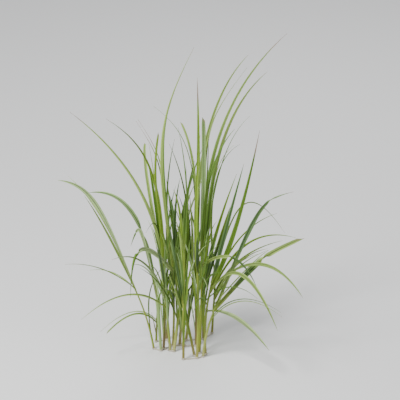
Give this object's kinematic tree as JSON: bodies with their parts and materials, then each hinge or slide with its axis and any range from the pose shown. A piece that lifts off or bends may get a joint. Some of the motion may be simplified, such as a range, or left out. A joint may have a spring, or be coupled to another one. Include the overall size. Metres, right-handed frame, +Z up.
{
  "type": "lemongrass clump",
  "caption": "Upright clump of lemongrass: slender leafy stalks with long narrow arching blades, growing from a low rhizome crown.",
  "frame": {"origin": "on the floor, under the heart of the crown, in the middle of the feet of the stalks", "axes": "+Z up along the stalks, +X to the right as the picture sees the clump, +Y away from the camera"},
  "size_m": [0.7678, 0.61, 1.0052],
  "materials": {
    "green_stalk": "matt green leaf and pale yellow-green sheath",
    "rhizome": "matt pale brown, papery"
  },
  "bodies": {
    "root": {"crown": "rhizome", "stalk_01": "green_stalk", "stalk_02": "green_stalk", "stalk_03": "green_stalk", "stalk_04": "green_stalk", "stalk_05": "green_stalk", "stalk_06": "green_stalk", "stalk_07": "green_stalk", "stalk_08": "green_stalk", "stalk_09": "green_stalk", "stalk_10": "green_stalk", "stalk_11": "green_stalk", "stalk_12": "green_stalk", "stalk_13": "green_stalk", "stalk_14": "green_stalk", "stalk_15": "green_stalk", "stalk_16": "green_stalk", "stalk_17": "green_stalk", "stalk_18": "green_stalk", "stalk_19": "green_stalk"}
  },
  "joints": []
}
